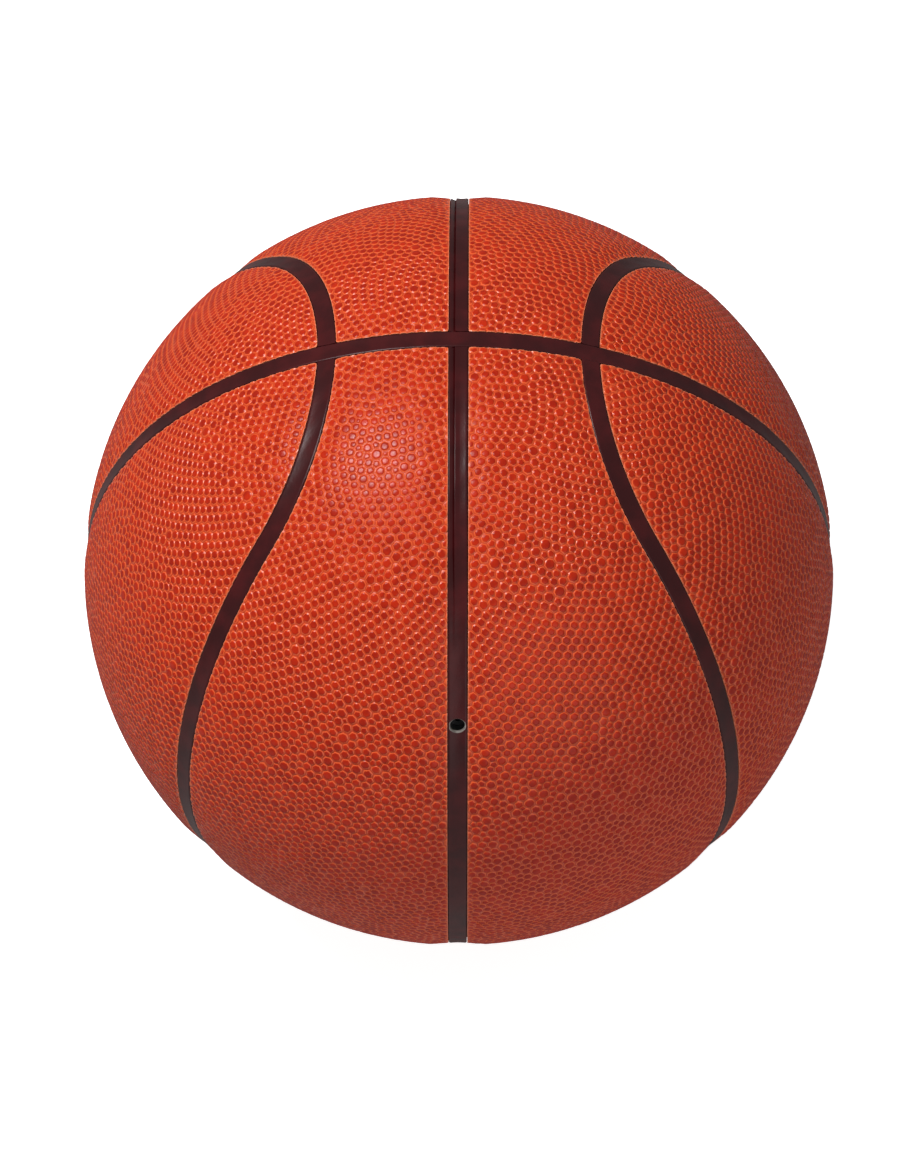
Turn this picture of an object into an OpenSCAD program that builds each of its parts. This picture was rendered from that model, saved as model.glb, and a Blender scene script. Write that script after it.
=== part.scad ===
// Laminated basketball with eight cover panels. The origin is the centre of the ball. +Z runs
// through the upper crossing of the two great-circle seams: the centre seam lies in the YZ
// plane and the cross seam in the XZ plane. The valve is on the front, which is the -Y side.

/* [Ball] */
// Diameter over the cover panels
ball_d = 241; // [230:0.5:250]

/* [Seams] */
// Width of the channel between two cover panels
channel_w = 6; // [5.6:0.1:6.4]
// Angle from the centre seam to a curved seam, where the curved seam is nearest
neck_angle = 19.1; // [18:0.1:20]
// Angle from the centre seam to a curved seam, where the curved seam is furthest
belly_angle = 45; // [44:0.1:46]
// Angular radius of the tight arcs at the two ends of a curved seam
end_arc = 33; // [32:0.1:34]

/* [Cover panels] */
// Thickness of the composite leather
cover_t = 1.3; // [1.1:0.05:1.6]
// Width of the rim where a panel turns down onto the carcass
rim_w = 2; // [1.6:0.1:3]
// Radius at which a panel rolls down to its edge
edge_r = 15; // [12:0.5:18]
// Depth of a panel's edge below the ball, at the wall of the channel
edge_fall = 0.7; // [0.6:0.05:0.9]

/* [Seam strips] */
// Width of a strip
strip_w = 5.3; // [5:0.05:5.5]
// Depth of a strip's crown below the cover panels
strip_depth = 0.6; // [0.5:0.05:0.9]
// Radius of a strip's shoulders
shoulder_r = 0.9; // [0.6:0.05:1.2]
// Depth of a shoulder's outer edge below the crown
shoulder_fall = 0.5; // [0.3:0.05:0.6]
// Gap between the butted end of a strip and the strip that it meets
butt_gap = 0.05; // [0.02:0.01:0.2]

/* [Inner layers] */
// Thickness of the foam pad under a panel
pad_t = 1.1; // [0.9:0.05:1.4]
// Thickness of the moulded rubber carcass
carcass_t = 0.9; // [0.7:0.05:1.4]
// Thickness of the wound thread layer
winding_t = 0.8; // [0.6:0.05:1.2]
// Thickness of the air bladder
bladder_t = 0.7; // [0.6:0.05:1]
// Glue line between two layers
glue_gap = 0.05; // [0.02:0.01:0.1]

/* [Valve] */
// Angle from the upper crossing down to the valve
valve_angle = 57; // [50:0.5:64]
// Diameter of the mouth in the strip
mouth_d = 4.5; // [4:0.1:4.8]
// Width of the bevelled lip round the mouth
lip_w = 0.3; // [0.2:0.05:0.4]
// Diameter of the housing's neck and stem
stem_d = 9; // [8:0.1:11]
// Length of the housing's stem, below its flange
stem_l = 15; // [12:0.5:18]
// Diameter of the housing's flange, bonded inside the bladder
flange_d = 34; // [26:0.5:40]
// Thickness of the housing's flange
flange_t = 1; // [0.8:0.05:1.5]
// Diameter of the bore that the valve core sits in
seat_d = 5; // [4.9:0.05:5.4]
// Radial clearance of the valve core in its seat
core_gap = 0.05; // [0.02:0.01:0.1]
// Depth from the outside of the carcass to the top of the valve core
core_depth = 4; // [3:0.1:6]
// Diameter of the bulb that holds the core behind the housing
bulb_d = 6.6; // [6:0.1:7.4]
// Length of the core's tapered tip
tip_l = 5; // [4:0.1:6]
// Diameter of the tip's end
tip_d = 2.6; // [2.4:0.1:3]
// Diameter of the needle's bore
needle_d = 2.2; // [2.1:0.05:2.3]
// Length of the self-closing slit across the tip
slit_l = 2; // [1.6:0.1:2.2]
// Opening of the slit at the tip's end
slit_t = 0.1; // [0.05:0.01:0.2]
// Length between the bore and the slit that its lips keep shut
shut_l = 1; // [0.6:0.1:2]

/* [Hidden] */
$fn = 96;

// Radii of the layers, from the outside in
ball_r = ball_d / 2;
cover_in_r = ball_r - cover_t;
pad_r = cover_in_r - glue_gap;
pad_in_r = pad_r - pad_t;
carcass_r = pad_in_r - glue_gap;
carcass_in_r = carcass_r - carcass_t;
winding_r = carcass_in_r - glue_gap;
winding_in_r = winding_r - winding_t;
bladder_r = winding_in_r - glue_gap;
bladder_in_r = bladder_r - bladder_t;
flange_r = bladder_in_r - glue_gap;
flange_in_r = flange_r - flange_t;
crown_r = ball_r - strip_depth;

// Cutting shapes reach from core_r out to far_r, and a round passes a little over the surface
// that it rolls down from, so that the two meet at a clear angle
core_r = bladder_in_r / 2;
far_r = ball_r + core_r;
lift = 0.02;

// A curved seam is an oval of four arcs, tangent where they meet: a tight arc at each end,
// centred in the XZ plane, and a wide arc on each side, centred in the XY plane. The wide arc
// is cut join_angle short of the tight arcs, whose full circles lie inside it.
end_axis = neck_angle + end_arc;
side_arc = atan2(
    cos(end_arc) - sin(end_axis) * sin(belly_angle),
    sin(end_axis) * cos(belly_angle) - sin(end_arc)
);
side_axis = belly_angle + side_arc;
join = [sin(end_axis), 0, cos(end_axis)]
    - cos(side_arc - end_arc) * [sin(side_axis), -cos(side_axis), 0];
side_sweep = acos(join * [-cos(side_axis), -sin(side_axis), 0] / norm(join));
join_angle = 0.6;

// A point of a section through a seam: s along the surface from the seam's middle, positive
// away from the arc's axis, and r from the centre of the ball
function at(polar, r, s) =
    let (h = sqrt(r * r - s * s))
    [h * sin(polar) + s * cos(polar), h * cos(polar) - s * sin(polar)];

// Section from an arc's axis to a straight wall in the seam
module plain_sector(polar, wall) {
    corner = at(polar, far_r, wall);
    last = atan2(corner[0], corner[1]);
    steps = 3;
    polygon(concat(
        [[0, core_r], at(polar, core_r, wall)],
        [for (i = [steps : -1 : 0]) far_r * [sin(last * i / steps), cos(last * i / steps)]]
    ));
}

// The same section with the surface top rolled down by fall at the wall: inside the wall for
// a side of -1, as on a piece, or beyond the wall for a side of 1, as on a cutter
module sector(polar, wall, side, top, fall, round_r) {
    crest = wall + side * sqrt(2 * round_r * fall - fall * fall);
    if (side < 0) intersection() {
        plain_sector(polar, wall);
        union() {
            plain_sector(polar, crest);
            translate(at(polar, top - round_r + lift, crest)) circle(r = round_r);
        }
    }
    else difference() {
        plain_sector(polar, crest);
        difference() {
            translate(at(polar, top - round_r + lift, crest)) circle(r = round_r);
            plain_sector(polar, wall);
        }
    }
}

module cover_sector(polar, wall, side) {
    sector(polar, wall, side, ball_r, edge_fall, edge_r);
}

module strip_sector(polar, wall, side) {
    sector(polar, wall, side, crown_r, shoulder_fall, shoulder_r);
}

// Turns a section about a great-circle seam's axis
module right_of_centre_seam() {
    rotate([0, 90, 0]) rotate_extrude() children();
}

module front_of_cross_seam() {
    rotate([90, 0, 0]) rotate_extrude() children();
}

// Turns a section round the front of the right-hand curved seam: child 0 is the section
// about a tight arc's axis, child 1 about the wide arc's axis
module round_curved_seam() {
    for (flip = [0, 1])
        mirror([0, 0, flip]) rotate([0, end_axis, 0]) rotate_extrude() children(0);
    sweep = side_sweep - join_angle;
    rotate([0, 0, side_axis - 90]) rotate([0, 90, 0]) rotate([0, 0, -90 - sweep])
        rotate_extrude(angle = 2 * sweep) children(1);
}

module shell(r, in_r) {
    difference() {
        sphere(r = r);
        sphere(r = in_r);
    }
}

// Plain piece of a shell in the front right quarter, inset from the channel
module centre_slice(r, in_r, inset) {
    wall = channel_w / 2 + inset;
    difference() {
        intersection() {
            shell(r, in_r);
            front_of_cross_seam() plain_sector(90, -wall);
            right_of_centre_seam() plain_sector(90, -wall);
        }
        round_curved_seam() {
            plain_sector(end_arc, wall);
            plain_sector(side_arc, wall);
        }
    }
}

module side_slice(r, in_r, inset) {
    wall = channel_w / 2 + inset;
    intersection() {
        shell(r, in_r);
        front_of_cross_seam() plain_sector(90, -wall);
        round_curved_seam() {
            plain_sector(end_arc, -wall);
            plain_sector(side_arc, -wall);
        }
    }
}

// A cover panel rolls down to its edge, and the hollow inside its rim holds the foam pad
module centre_panel() {
    wall = channel_w / 2;
    color("orangered") difference() {
        intersection() {
            shell(ball_r, pad_in_r);
            front_of_cross_seam() cover_sector(90, -wall, -1);
            right_of_centre_seam() cover_sector(90, -wall, -1);
        }
        round_curved_seam() {
            cover_sector(end_arc, wall, 1);
            cover_sector(side_arc, wall, 1);
        }
        centre_slice(cover_in_r, core_r, rim_w);
    }
}

module side_panel() {
    wall = channel_w / 2;
    color("orangered") difference() {
        intersection() {
            shell(ball_r, pad_in_r);
            front_of_cross_seam() cover_sector(90, -wall, -1);
            round_curved_seam() {
                cover_sector(end_arc, -wall, -1);
                cover_sector(side_arc, -wall, -1);
            }
        }
        side_slice(cover_in_r, core_r, rim_w);
    }
}

module centre_pad() {
    color("khaki") centre_slice(pad_r, pad_in_r, rim_w + glue_gap);
}

module side_pad() {
    color("khaki") side_slice(pad_r, pad_in_r, rim_w + glue_gap);
}

// Section of a great-circle strip, and the strips. They butt against the cross strip's side.
module strip_section() {
    intersection() {
        difference() {
            circle(r = crown_r);
            circle(r = pad_in_r);
        }
        difference() {
            strip_sector(90, strip_w / 2, -1);
            strip_sector(90, -strip_w / 2, 1);
        }
    }
}

module in_front_of_cross_strip() {
    translate([-far_r, -far_r - strip_w / 2 - butt_gap, -far_r])
        cube([2 * far_r, far_r, 2 * far_r]);
}

module cross_strip() {
    color("#35171a") front_of_cross_seam() strip_section();
}

module centre_strip() {
    color("#35171a") intersection() {
        right_of_centre_seam() strip_section();
        in_front_of_cross_strip();
    }
}

module curved_strip() {
    color("#35171a") difference() {
        intersection() {
            shell(crown_r, pad_in_r);
            in_front_of_cross_strip();
            round_curved_seam() {
                strip_sector(end_arc, strip_w / 2, -1);
                strip_sector(side_arc, strip_w / 2, -1);
            }
        }
        round_curved_seam() {
            strip_sector(end_arc, -strip_w / 2, 1);
            strip_sector(side_arc, -strip_w / 2, 1);
        }
    }
}

module on_valve_axis() {
    rotate([valve_angle, 0, 0]) children();
}

module valve_hole(d) {
    on_valve_axis() translate([0, 0, core_r]) cylinder(d = d, h = far_r - core_r);
}

module centre_strip_front() {
    color("#35171a") difference() {
        centre_strip();
        valve_hole(mouth_d);
        on_valve_axis() translate([0, 0, crown_r - lip_w])
            cylinder(d1 = mouth_d, d2 = mouth_d + 4 * lip_w, h = 2 * lip_w);
    }
}

module carcass() {
    color("#241c1a") difference() {
        shell(carcass_r, carcass_in_r);
        valve_hole(stem_d + 2 * glue_gap);
    }
}

module thread_winding() {
    color("ivory") difference() {
        shell(winding_r, winding_in_r);
        valve_hole(stem_d + 2 * glue_gap);
    }
}

module bladder() {
    color("#1d1d1f") difference() {
        shell(bladder_r, bladder_in_r);
        valve_hole(stem_d + 2 * glue_gap);
    }
}

// Neck through the layers, flange bonded inside the bladder, and stem with the core's seat
module valve_housing() {
    stem_end = flange_in_r - stem_l;
    color("#2a2a2c") difference() {
        union() {
            intersection() {
                shell(flange_r, flange_in_r);
                valve_hole(flange_d);
            }
            intersection() {
                sphere(r = carcass_r);
                on_valve_axis() translate([0, 0, stem_end])
                    cylinder(d = stem_d, h = far_r - stem_end);
            }
        }
        valve_hole(seat_d);
    }
}

// Plug with a needle bore, a bulb behind the housing and a slit that closes under pressure
module valve_core() {
    top = carcass_r - core_depth;
    bulb_top = flange_in_r - stem_l - glue_gap;
    bulb_h = bulb_d / 4;
    tip_end = bulb_top - bulb_h - tip_l;
    color("#3a3a3c") on_valve_axis() difference() {
        rotate_extrude() polygon([
            [0, top], [seat_d / 2 - core_gap, top],
            [seat_d / 2 - core_gap, bulb_top], [bulb_d / 2, bulb_top],
            [bulb_d / 2, bulb_top - bulb_h], [tip_d / 2, tip_end], [0, tip_end]
        ]);
        translate([0, 0, bulb_top]) cylinder(d = needle_d, h = far_r);
        translate([-slit_l / 2, -slit_t / 2, core_r])
            cube([slit_l, slit_t, bulb_top - shut_l - core_r]);
    }
}

// Mirrors the front right quarter's piece into its own quarter
module placed(right, front) {
    mirror([right ? 0 : 1, 0, 0]) mirror([0, front ? 0 : 1, 0]) children();
}

centre_panel();  // centre_panel_front_right
placed(false, true) centre_panel();  // centre_panel_front_left
placed(true, false) centre_panel();  // centre_panel_rear_right
placed(false, false) centre_panel();  // centre_panel_rear_left
side_panel();  // side_panel_front_right
placed(false, true) side_panel();  // side_panel_front_left
placed(true, false) side_panel();  // side_panel_rear_right
placed(false, false) side_panel();  // side_panel_rear_left
centre_pad();  // centre_pad_front_right
placed(false, true) centre_pad();  // centre_pad_front_left
placed(true, false) centre_pad();  // centre_pad_rear_right
placed(false, false) centre_pad();  // centre_pad_rear_left
side_pad();  // side_pad_front_right
placed(false, true) side_pad();  // side_pad_front_left
placed(true, false) side_pad();  // side_pad_rear_right
placed(false, false) side_pad();  // side_pad_rear_left
cross_strip();  // cross_seam_strip
centre_strip_front();  // centre_seam_strip_front
placed(true, false) centre_strip();  // centre_seam_strip_rear
curved_strip();  // curved_seam_strip_front_right
placed(false, true) curved_strip();  // curved_seam_strip_front_left
placed(true, false) curved_strip();  // curved_seam_strip_rear_right
placed(false, false) curved_strip();  // curved_seam_strip_rear_left
carcass();
thread_winding();
bladder();
valve_housing();
valve_core();
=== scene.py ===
import math
import time

import bmesh
import bpy
import numpy as np
from mathutils import Matrix, Vector, geometry, noise


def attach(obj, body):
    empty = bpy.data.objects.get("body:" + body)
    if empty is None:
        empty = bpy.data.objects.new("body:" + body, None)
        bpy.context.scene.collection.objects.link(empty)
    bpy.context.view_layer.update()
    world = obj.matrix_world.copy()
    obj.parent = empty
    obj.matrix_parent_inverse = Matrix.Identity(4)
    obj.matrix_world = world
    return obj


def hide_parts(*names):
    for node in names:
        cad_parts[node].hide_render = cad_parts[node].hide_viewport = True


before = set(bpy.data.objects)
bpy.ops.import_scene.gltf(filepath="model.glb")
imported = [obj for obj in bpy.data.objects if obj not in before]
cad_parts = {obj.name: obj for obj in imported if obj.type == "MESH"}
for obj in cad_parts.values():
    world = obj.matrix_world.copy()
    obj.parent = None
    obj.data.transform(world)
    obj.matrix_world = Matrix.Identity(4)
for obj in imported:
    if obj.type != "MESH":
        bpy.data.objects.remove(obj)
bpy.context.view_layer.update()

started = time.time()
mm = 0.001

# The ball's layout, as in its source: millimetres and degrees
ball = {
    "radius": 120.5,      # over the tops of the pebbles
    "carcass": 118.05,    # what panels and strips are glued to
    "wall": 3.0,          # middle of a seam to a panel's wall
    "neck": 19.1,         # centre seam to curved seam, nearest
    "belly": 45.0,        # centre seam to curved seam, furthest
    "endArc": 33.0,       # tight end arcs of a curved seam
    "valve": 57.0,        # upper crossing down to the valve
}
quarters = [("front_right", 1, -1), ("front_left", -1, -1),
            ("rear_right", 1, 1), ("rear_left", -1, 1)]
rowShare = 0.866  # distance between rows of a triangle pattern, as a share of its spacing


def linear(hexColour):  # sRGB hex to linear
    srgb = [int(hexColour[i:i + 2], 16) / 255 for i in (1, 3, 5)]
    return [c / 12.92 if c <= 0.04045 else ((c + 0.055) / 1.055) ** 2.4 for c in srgb] + [1.0]


def firstOutput(node):  # its first output that is in use
    return next(socket for socket in node.outputs if socket.enabled)


def addNode(tree, kind, inputs=None, **settings):
    # An input takes a value, a socket or a node, which stands for its first output
    made = tree.nodes.new(kind)
    for name, value in settings.items():
        setattr(made, name, value)
    for name, value in (inputs or {}).items():
        if isinstance(value, bpy.types.Node):
            value = firstOutput(value)
        if isinstance(value, bpy.types.NodeSocket):
            tree.links.new(value, made.inputs[name])
        else:
            made.inputs[name].default_value = value
    return made


def addObject(name, data):
    made = bpy.data.objects.new(name, data)
    bpy.context.scene.collection.objects.link(made)
    return made


def smoothStep(low, high, x):
    t = np.clip((x - low) / (high - low), 0, 1)
    return t * t * (3 - 2 * t)


# Camera, fitted to the photo's outline and seams
camera = {
    "direction": (0.00243, -0.57089, 0.82102),
    "up": (-0.00233, 0.82102, 0.57090),
    "distance": 1.0949,
    "lens": 105.72,
    "sensor": 36,
    "clip": (0.05, 20),
    "shift": (0.00148, -0.00469),
}
cameraData = bpy.data.cameras.new("camera")
cameraData.lens = camera["lens"]
cameraData.sensor_width = camera["sensor"]
cameraData.shift_x, cameraData.shift_y = camera["shift"]
cameraData.clip_start, cameraData.clip_end = camera["clip"]
cameraObject = addObject("camera", cameraData)
back = Vector(camera["direction"]).normalized()
right = Vector(camera["up"]).cross(back).normalized()
cameraObject.matrix_world = Matrix.Translation(back * camera["distance"]) @ Matrix(
    (right, back.cross(right), back)).transposed().to_4x4()
bpy.context.scene.camera = cameraObject
bpy.context.scene.view_settings.view_transform = "Standard"
print("camera placed")

# Plain soft studio light: a softbox high on the left, a wide fill in front and a pale room
studio = {
    "softbox": {"at": (-0.376, -0.021, 0.923), "distance": 0.9, "size": (0.22, 0.30), "power": 8.6},
    "fill": {"at": (0.35, -0.90, 0.30), "distance": 1.5, "size": (1.2, 1.2), "power": 7.4},
    "room": 0.275,
    "floor": "#efeeec",      # as the camera sees it
    "floorBounce": "#a8a6a4",
    "floorGlow": 0.80,
    "floorHalf": 6.0,
}
for name in ("softbox", "fill"):
    lamp = studio[name]
    lampData = bpy.data.lights.new(name, "AREA")
    lampData.shape = "RECTANGLE"
    lampData.size, lampData.size_y = lamp["size"]
    lampData.energy = lamp["power"]
    lampObject = addObject(name, lampData)
    place = Vector(lamp["at"]).normalized() * lamp["distance"]
    lampObject.location = place
    lampObject.rotation_euler = place.to_track_quat("Z", "Y").to_euler()


def seenDirectly(tree):  # 1 for the rays that see the white background itself
    path = addNode(tree, "ShaderNodeLightPath").outputs
    either = addNode(tree, "ShaderNodeMath", {0: path["Is Camera Ray"], 1: path["Is Glossy Ray"]},
                     operation="MAXIMUM")
    return addNode(tree, "ShaderNodeMath", {0: either, 1: path["Is Transmission Ray"]},
                   operation="MAXIMUM")


world = bpy.data.worlds.new("paleRoom")
bpy.context.scene.world = world
world.use_nodes = True
tree = world.node_tree
tree.nodes.clear()
dim = addNode(tree, "ShaderNodeBackground", {"Color": (1, 1, 1, 1), "Strength": studio["room"]})
bright = addNode(tree, "ShaderNodeBackground", {"Color": (1, 1, 1, 1), "Strength": 1.0})
chosen = addNode(tree, "ShaderNodeMixShader", {0: seenDirectly(tree), 1: dim, 2: bright})
addNode(tree, "ShaderNodeOutputWorld", {"Surface": chosen})

# Painted studio floor: it glows for the camera to meet the white room, and keeps the ball's shadow
floorPaint = bpy.data.materials.new("paintedFloor")
floorPaint.use_nodes = True
tree = floorPaint.node_tree
tree.nodes.clear()
matte = addNode(tree, "ShaderNodeBsdfDiffuse", {"Color": linear(studio["floor"])})
bounce = addNode(tree, "ShaderNodeBsdfDiffuse", {"Color": linear(studio["floorBounce"])})
glow = addNode(tree, "ShaderNodeEmission", {"Color": (1, 1, 1, 1), "Strength": studio["floorGlow"]})
glowing = addNode(tree, "ShaderNodeAddShader", {0: matte, 1: glow})
chosen = addNode(tree, "ShaderNodeMixShader", {0: seenDirectly(tree), 1: bounce, 2: glowing})
addNode(tree, "ShaderNodeOutputMaterial", {"Surface": chosen})
floorMesh = bpy.data.meshes.new("floor")
half, low = studio["floorHalf"], -ball["radius"] * mm
floorMesh.from_pydata([(-half, -half, low), (half, -half, low), (half, half, low),
                       (-half, half, low)], [], [(0, 1, 2, 3)])
floorMesh.materials.append(floorPaint)
addObject("floor", floorMesh)
print("studio lit")


# Each material is a Principled shader with its patterns on the piece's Object coordinates
def newMaterial(name, viewColour, settings):
    made = bpy.data.materials.new(name)
    made.use_nodes = True
    made.diffuse_color = linear(viewColour)
    shader = made.node_tree.nodes["Principled BSDF"]
    for key, value in settings.items():
        shader.inputs[key].default_value = value
    place = addNode(made.node_tree, "ShaderNodeTexCoord").outputs["Object"]
    return made, made.node_tree, shader, place


def connect(tree, shader, links):
    for socket, node in links.items():
        tree.links.new(firstOutput(node), shader.inputs[socket])


# Composite leather: microfibre cloth under a polyurethane skin, pressed on a pebbled plate. The
# pebbles' tops are a deeper red and polished by hands, their flanks keep the skin's brighter
# orange, the valleys are painted darker (painted shade), the channel's wall is painted dark below
# (painted shade), and the cut edge shows the paler cloth.
leather = {
    # The valley colour is painted shade in the valleys; the dark wall colour is painted shade on
    # the channel's wall
    "pebble": "#a62205", "pebbleDeep": "#8e1803", "flank": "#c65024", "valley": "#a83414",
    "cloth": "#cc7252", "wallShade": "#50100a",
    "viewColour": "#c8451f",             # in Blender's solid view only
    "flankAt": (0.02, 0.32), "topAt": (0.5, 0.86), "polishAt": (0.5, 0.9),  # of a pebble's height
    "speckleShift": 0.25,                # how far speckles move these borders
    "clothAt": (0.05, 0.28),             # mm from the wall
    "wallAt": (119.0, 119.3),            # radius in mm, the channel's wall is painted dark below it, painted shade
    "deepAt": (0.35, 0.65), "dullAt": (0.3, 0.7),   # of the blotches and the speckles
    "roughness": (0.52, 0.7),            # of the skin itself
    "valleyPolish": 0.17, "polish": 0.1,            # weight of the polished film
    "polishRoughness": 0.23, "polishIor": 1.9,
    "blotch": 5.0, "speckle": 0.5,       # mm
    "pore": 0.45, "poreDepth": 0.03, "detail": 3.0,
}


def coverLeather():  # all its gloss is in the polished film
    made, tree, shader, place = newMaterial("coverLeather", leather["viewColour"], {
        "Specular IOR Level": 0.0, "Coat Roughness": leather["polishRoughness"],
        "Coat IOR": leather["polishIor"]})
    grain = addNode(tree, "ShaderNodeAttribute", attribute_name="grain").outputs["Fac"]
    wall = addNode(tree, "ShaderNodeAttribute", attribute_name="wall").outputs["Fac"]
    blotch = addNode(tree, "ShaderNodeTexNoise", {"Vector": place,
                                                  "Scale": 1000 / leather["blotch"]})
    tone = addNode(tree, "ShaderNodeMapRange", {0: blotch, 1: leather["deepAt"][0],
                                                2: leather["deepAt"][1]},
                   interpolation_type="SMOOTHSTEP")
    pebble = addNode(tree, "ShaderNodeMix", {0: tone, 6: linear(leather["pebbleDeep"]),
                                             7: linear(leather["pebble"])}, data_type="RGBA")
    speckle = addNode(tree, "ShaderNodeTexNoise", {"Vector": place,
                                                   "Scale": 1000 / leather["speckle"],
                                                   "Detail": leather["detail"]})
    shifted = addNode(tree, "ShaderNodeMath", {0: speckle, 1: leather["speckleShift"],
                                               2: -leather["speckleShift"] / 2},
                      operation="MULTIPLY_ADD")
    grainy = addNode(tree, "ShaderNodeMath", {0: grain, 1: shifted})
    high = addNode(tree, "ShaderNodeMapRange", {0: grainy, 1: leather["topAt"][0],
                                                2: leather["topAt"][1]},
                   interpolation_type="SMOOTHSTEP")
    flank = addNode(tree, "ShaderNodeMapRange", {0: grainy, 1: leather["flankAt"][0],
                                                 2: leather["flankAt"][1]},
                    interpolation_type="SMOOTHSTEP")
    # Painted shade: the valley colour darkens the foot of each pebble
    foot = addNode(tree, "ShaderNodeMix", {0: flank, 6: linear(leather["valley"]),
                                           7: linear(leather["flank"])}, data_type="RGBA")
    skin = addNode(tree, "ShaderNodeMix", {0: high, 6: foot, 7: pebble}, data_type="RGBA")
    atWall = addNode(tree, "ShaderNodeMapRange", {0: wall, 1: leather["clothAt"][0],
                                                  2: leather["clothAt"][1], 3: 1.0, 4: 0.0},
                     interpolation_type="SMOOTHSTEP")
    edged = addNode(tree, "ShaderNodeMix", {0: atWall, 6: skin, 7: linear(leather["cloth"])},
                    data_type="RGBA")
    # Painted shade: the leather's wall inside the channel turns dark below this radius
    far = addNode(tree, "ShaderNodeVectorMath", {0: place}, operation="LENGTH")
    above = addNode(tree, "ShaderNodeMapRange", {0: far, 1: leather["wallAt"][0] * mm,
                                                 2: leather["wallAt"][1] * mm},
                    interpolation_type="SMOOTHSTEP")
    colour = addNode(tree, "ShaderNodeMix", {0: above, 6: linear(leather["wallShade"]), 7: edged},
                     data_type="RGBA")
    dull = addNode(tree, "ShaderNodeMapRange", {0: speckle, 1: leather["dullAt"][0],
                                                2: leather["dullAt"][1],
                                                3: leather["roughness"][0],
                                                4: leather["roughness"][1]})
    polish = addNode(tree, "ShaderNodeMapRange", {0: grainy, 1: leather["polishAt"][0],
                                                  2: leather["polishAt"][1],
                                                  3: leather["valleyPolish"],
                                                  4: leather["polish"]})
    pores = addNode(tree, "ShaderNodeTexNoise", {"Vector": place, "Scale": 1000 / leather["pore"],
                                                 "Detail": leather["detail"]})
    bump = addNode(tree, "ShaderNodeBump", {"Height": pores, "Distance": leather["poreDepth"] * mm})
    connect(tree, shader, {"Base Color": colour, "Roughness": dull, "Coat Weight": polish,
                           "Normal": bump, "Coat Normal": bump})
    return made


leatherMaterial = coverLeather()

# Every smooth rubber has paler, duller patches and fine scuffs
rubberPatches = {"wornAt": (0.35, 0.7), "dullAt": (0.3, 0.7), "detail": 4.0}


def smoothRubber(name, settings):  # all its gloss is in the film
    made, tree, shader, place = newMaterial(name, settings["colour"], {
        "Specular IOR Level": 0.0, "Coat Weight": settings["film"],
        "Coat Roughness": settings["filmRoughness"], "Coat IOR": settings["filmIor"]})
    patches = addNode(tree, "ShaderNodeTexNoise", {"Vector": place,
                                                   "Scale": 1000 / settings["patch"],
                                                   "Detail": rubberPatches["detail"]})
    tone = addNode(tree, "ShaderNodeMapRange", {0: patches, 1: rubberPatches["wornAt"][0],
                                                2: rubberPatches["wornAt"][1]},
                   interpolation_type="SMOOTHSTEP")
    colour = addNode(tree, "ShaderNodeMix", {0: tone, 6: linear(settings["colour"]),
                                             7: linear(settings["worn"])}, data_type="RGBA")
    dull = addNode(tree, "ShaderNodeMapRange", {0: patches, 1: rubberPatches["dullAt"][0],
                                                2: rubberPatches["dullAt"][1],
                                                3: settings["roughness"][0],
                                                4: settings["roughness"][1]})
    scuffs = addNode(tree, "ShaderNodeTexNoise", {"Vector": place,
                                                  "Scale": 1000 / settings["scuff"],
                                                  "Detail": rubberPatches["detail"]})
    bump = addNode(tree, "ShaderNodeBump", {"Height": scuffs,
                                            "Distance": settings["scuffDepth"] * mm})
    connect(tree, shader, {"Base Color": colour, "Roughness": dull, "Normal": bump,
                           "Coat Normal": bump})
    return made


# Vulcanised carcass rubber, matte from its mould and dusted with talc
carcass = {
    "colour": "#241c19", "worn": "#3a322d", "roughness": (0.67, 0.87),
    "film": 0.05, "filmRoughness": 0.5, "filmIor": 1.5,
    "patch": 12.0, "scuff": 1.0, "scuffDepth": 0.05,    # mm
}

# Butyl bladder rubber, dipped smooth, black with a faint bloom
bladder = {
    "colour": "#151517", "worn": "#222226", "roughness": (0.42, 0.62),
    "film": 0.35, "filmRoughness": 0.3, "filmIor": 1.5,
    "patch": 15.0, "scuff": 2.0, "scuffDepth": 0.02,
}

# Soft valve rubber, moulded black and wiped grey by the needle's oil
valve = {
    "colour": "#121214", "worn": "#2c2b2c", "roughness": (0.42, 0.62),
    "film": 1.0, "filmRoughness": 0.3, "filmIor": 1.5,
    "patch": 2.0, "scuff": 0.5, "scuffDepth": 0.02,
}

# Nylon thread wound round the carcass in every direction and set in latex: pale, dull ridges
winding = {
    "thread": "#ddd6c0", "latex": "#a89a78", "roughness": (0.5, 0.7), "specular": 0.3,
    "ridge": 9.8696,          # mm, the real thread is about 0.3 mm, drawn much coarser to show
    "depth": 0.12, "distortion": 0.6, "detail": 1.0,
    "turns": ((0.0, 0.0, 0.0), (1.1, 0.0, 0.4), (0.5, 1.2, 0.0), (2.2, 0.9, 1.6)),
}


def woundThread():
    made, tree, shader, place = newMaterial("woundThread", winding["thread"],
                                            {"Specular IOR Level": winding["specular"]})
    ridge = None
    for turn in winding["turns"]:  # each layer runs round the ball another way
        turned = addNode(tree, "ShaderNodeMapping", {"Vector": place, "Rotation": turn})
        wave = addNode(tree, "ShaderNodeTexWave", {
            "Vector": turned, "Distortion": winding["distortion"], "Detail": winding["detail"],
            "Scale": 1000 / winding["ridge"] * math.tau / 20})  # at scale 1 a wave is tau / 20
        ridge = wave.outputs["Fac"] if ridge is None else addNode(
            tree, "ShaderNodeMath", {0: ridge, 1: wave.outputs["Fac"]}, operation="MAXIMUM")
    colour = addNode(tree, "ShaderNodeMix", {0: ridge, 6: linear(winding["latex"]),
                                             7: linear(winding["thread"])}, data_type="RGBA")
    dull = addNode(tree, "ShaderNodeMapRange", {0: ridge, 3: winding["roughness"][0],
                                                4: winding["roughness"][1]})
    bump = addNode(tree, "ShaderNodeBump", {"Height": ridge, "Distance": winding["depth"] * mm})
    connect(tree, shader, {"Base Color": colour, "Roughness": dull, "Normal": bump})
    return made


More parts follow.
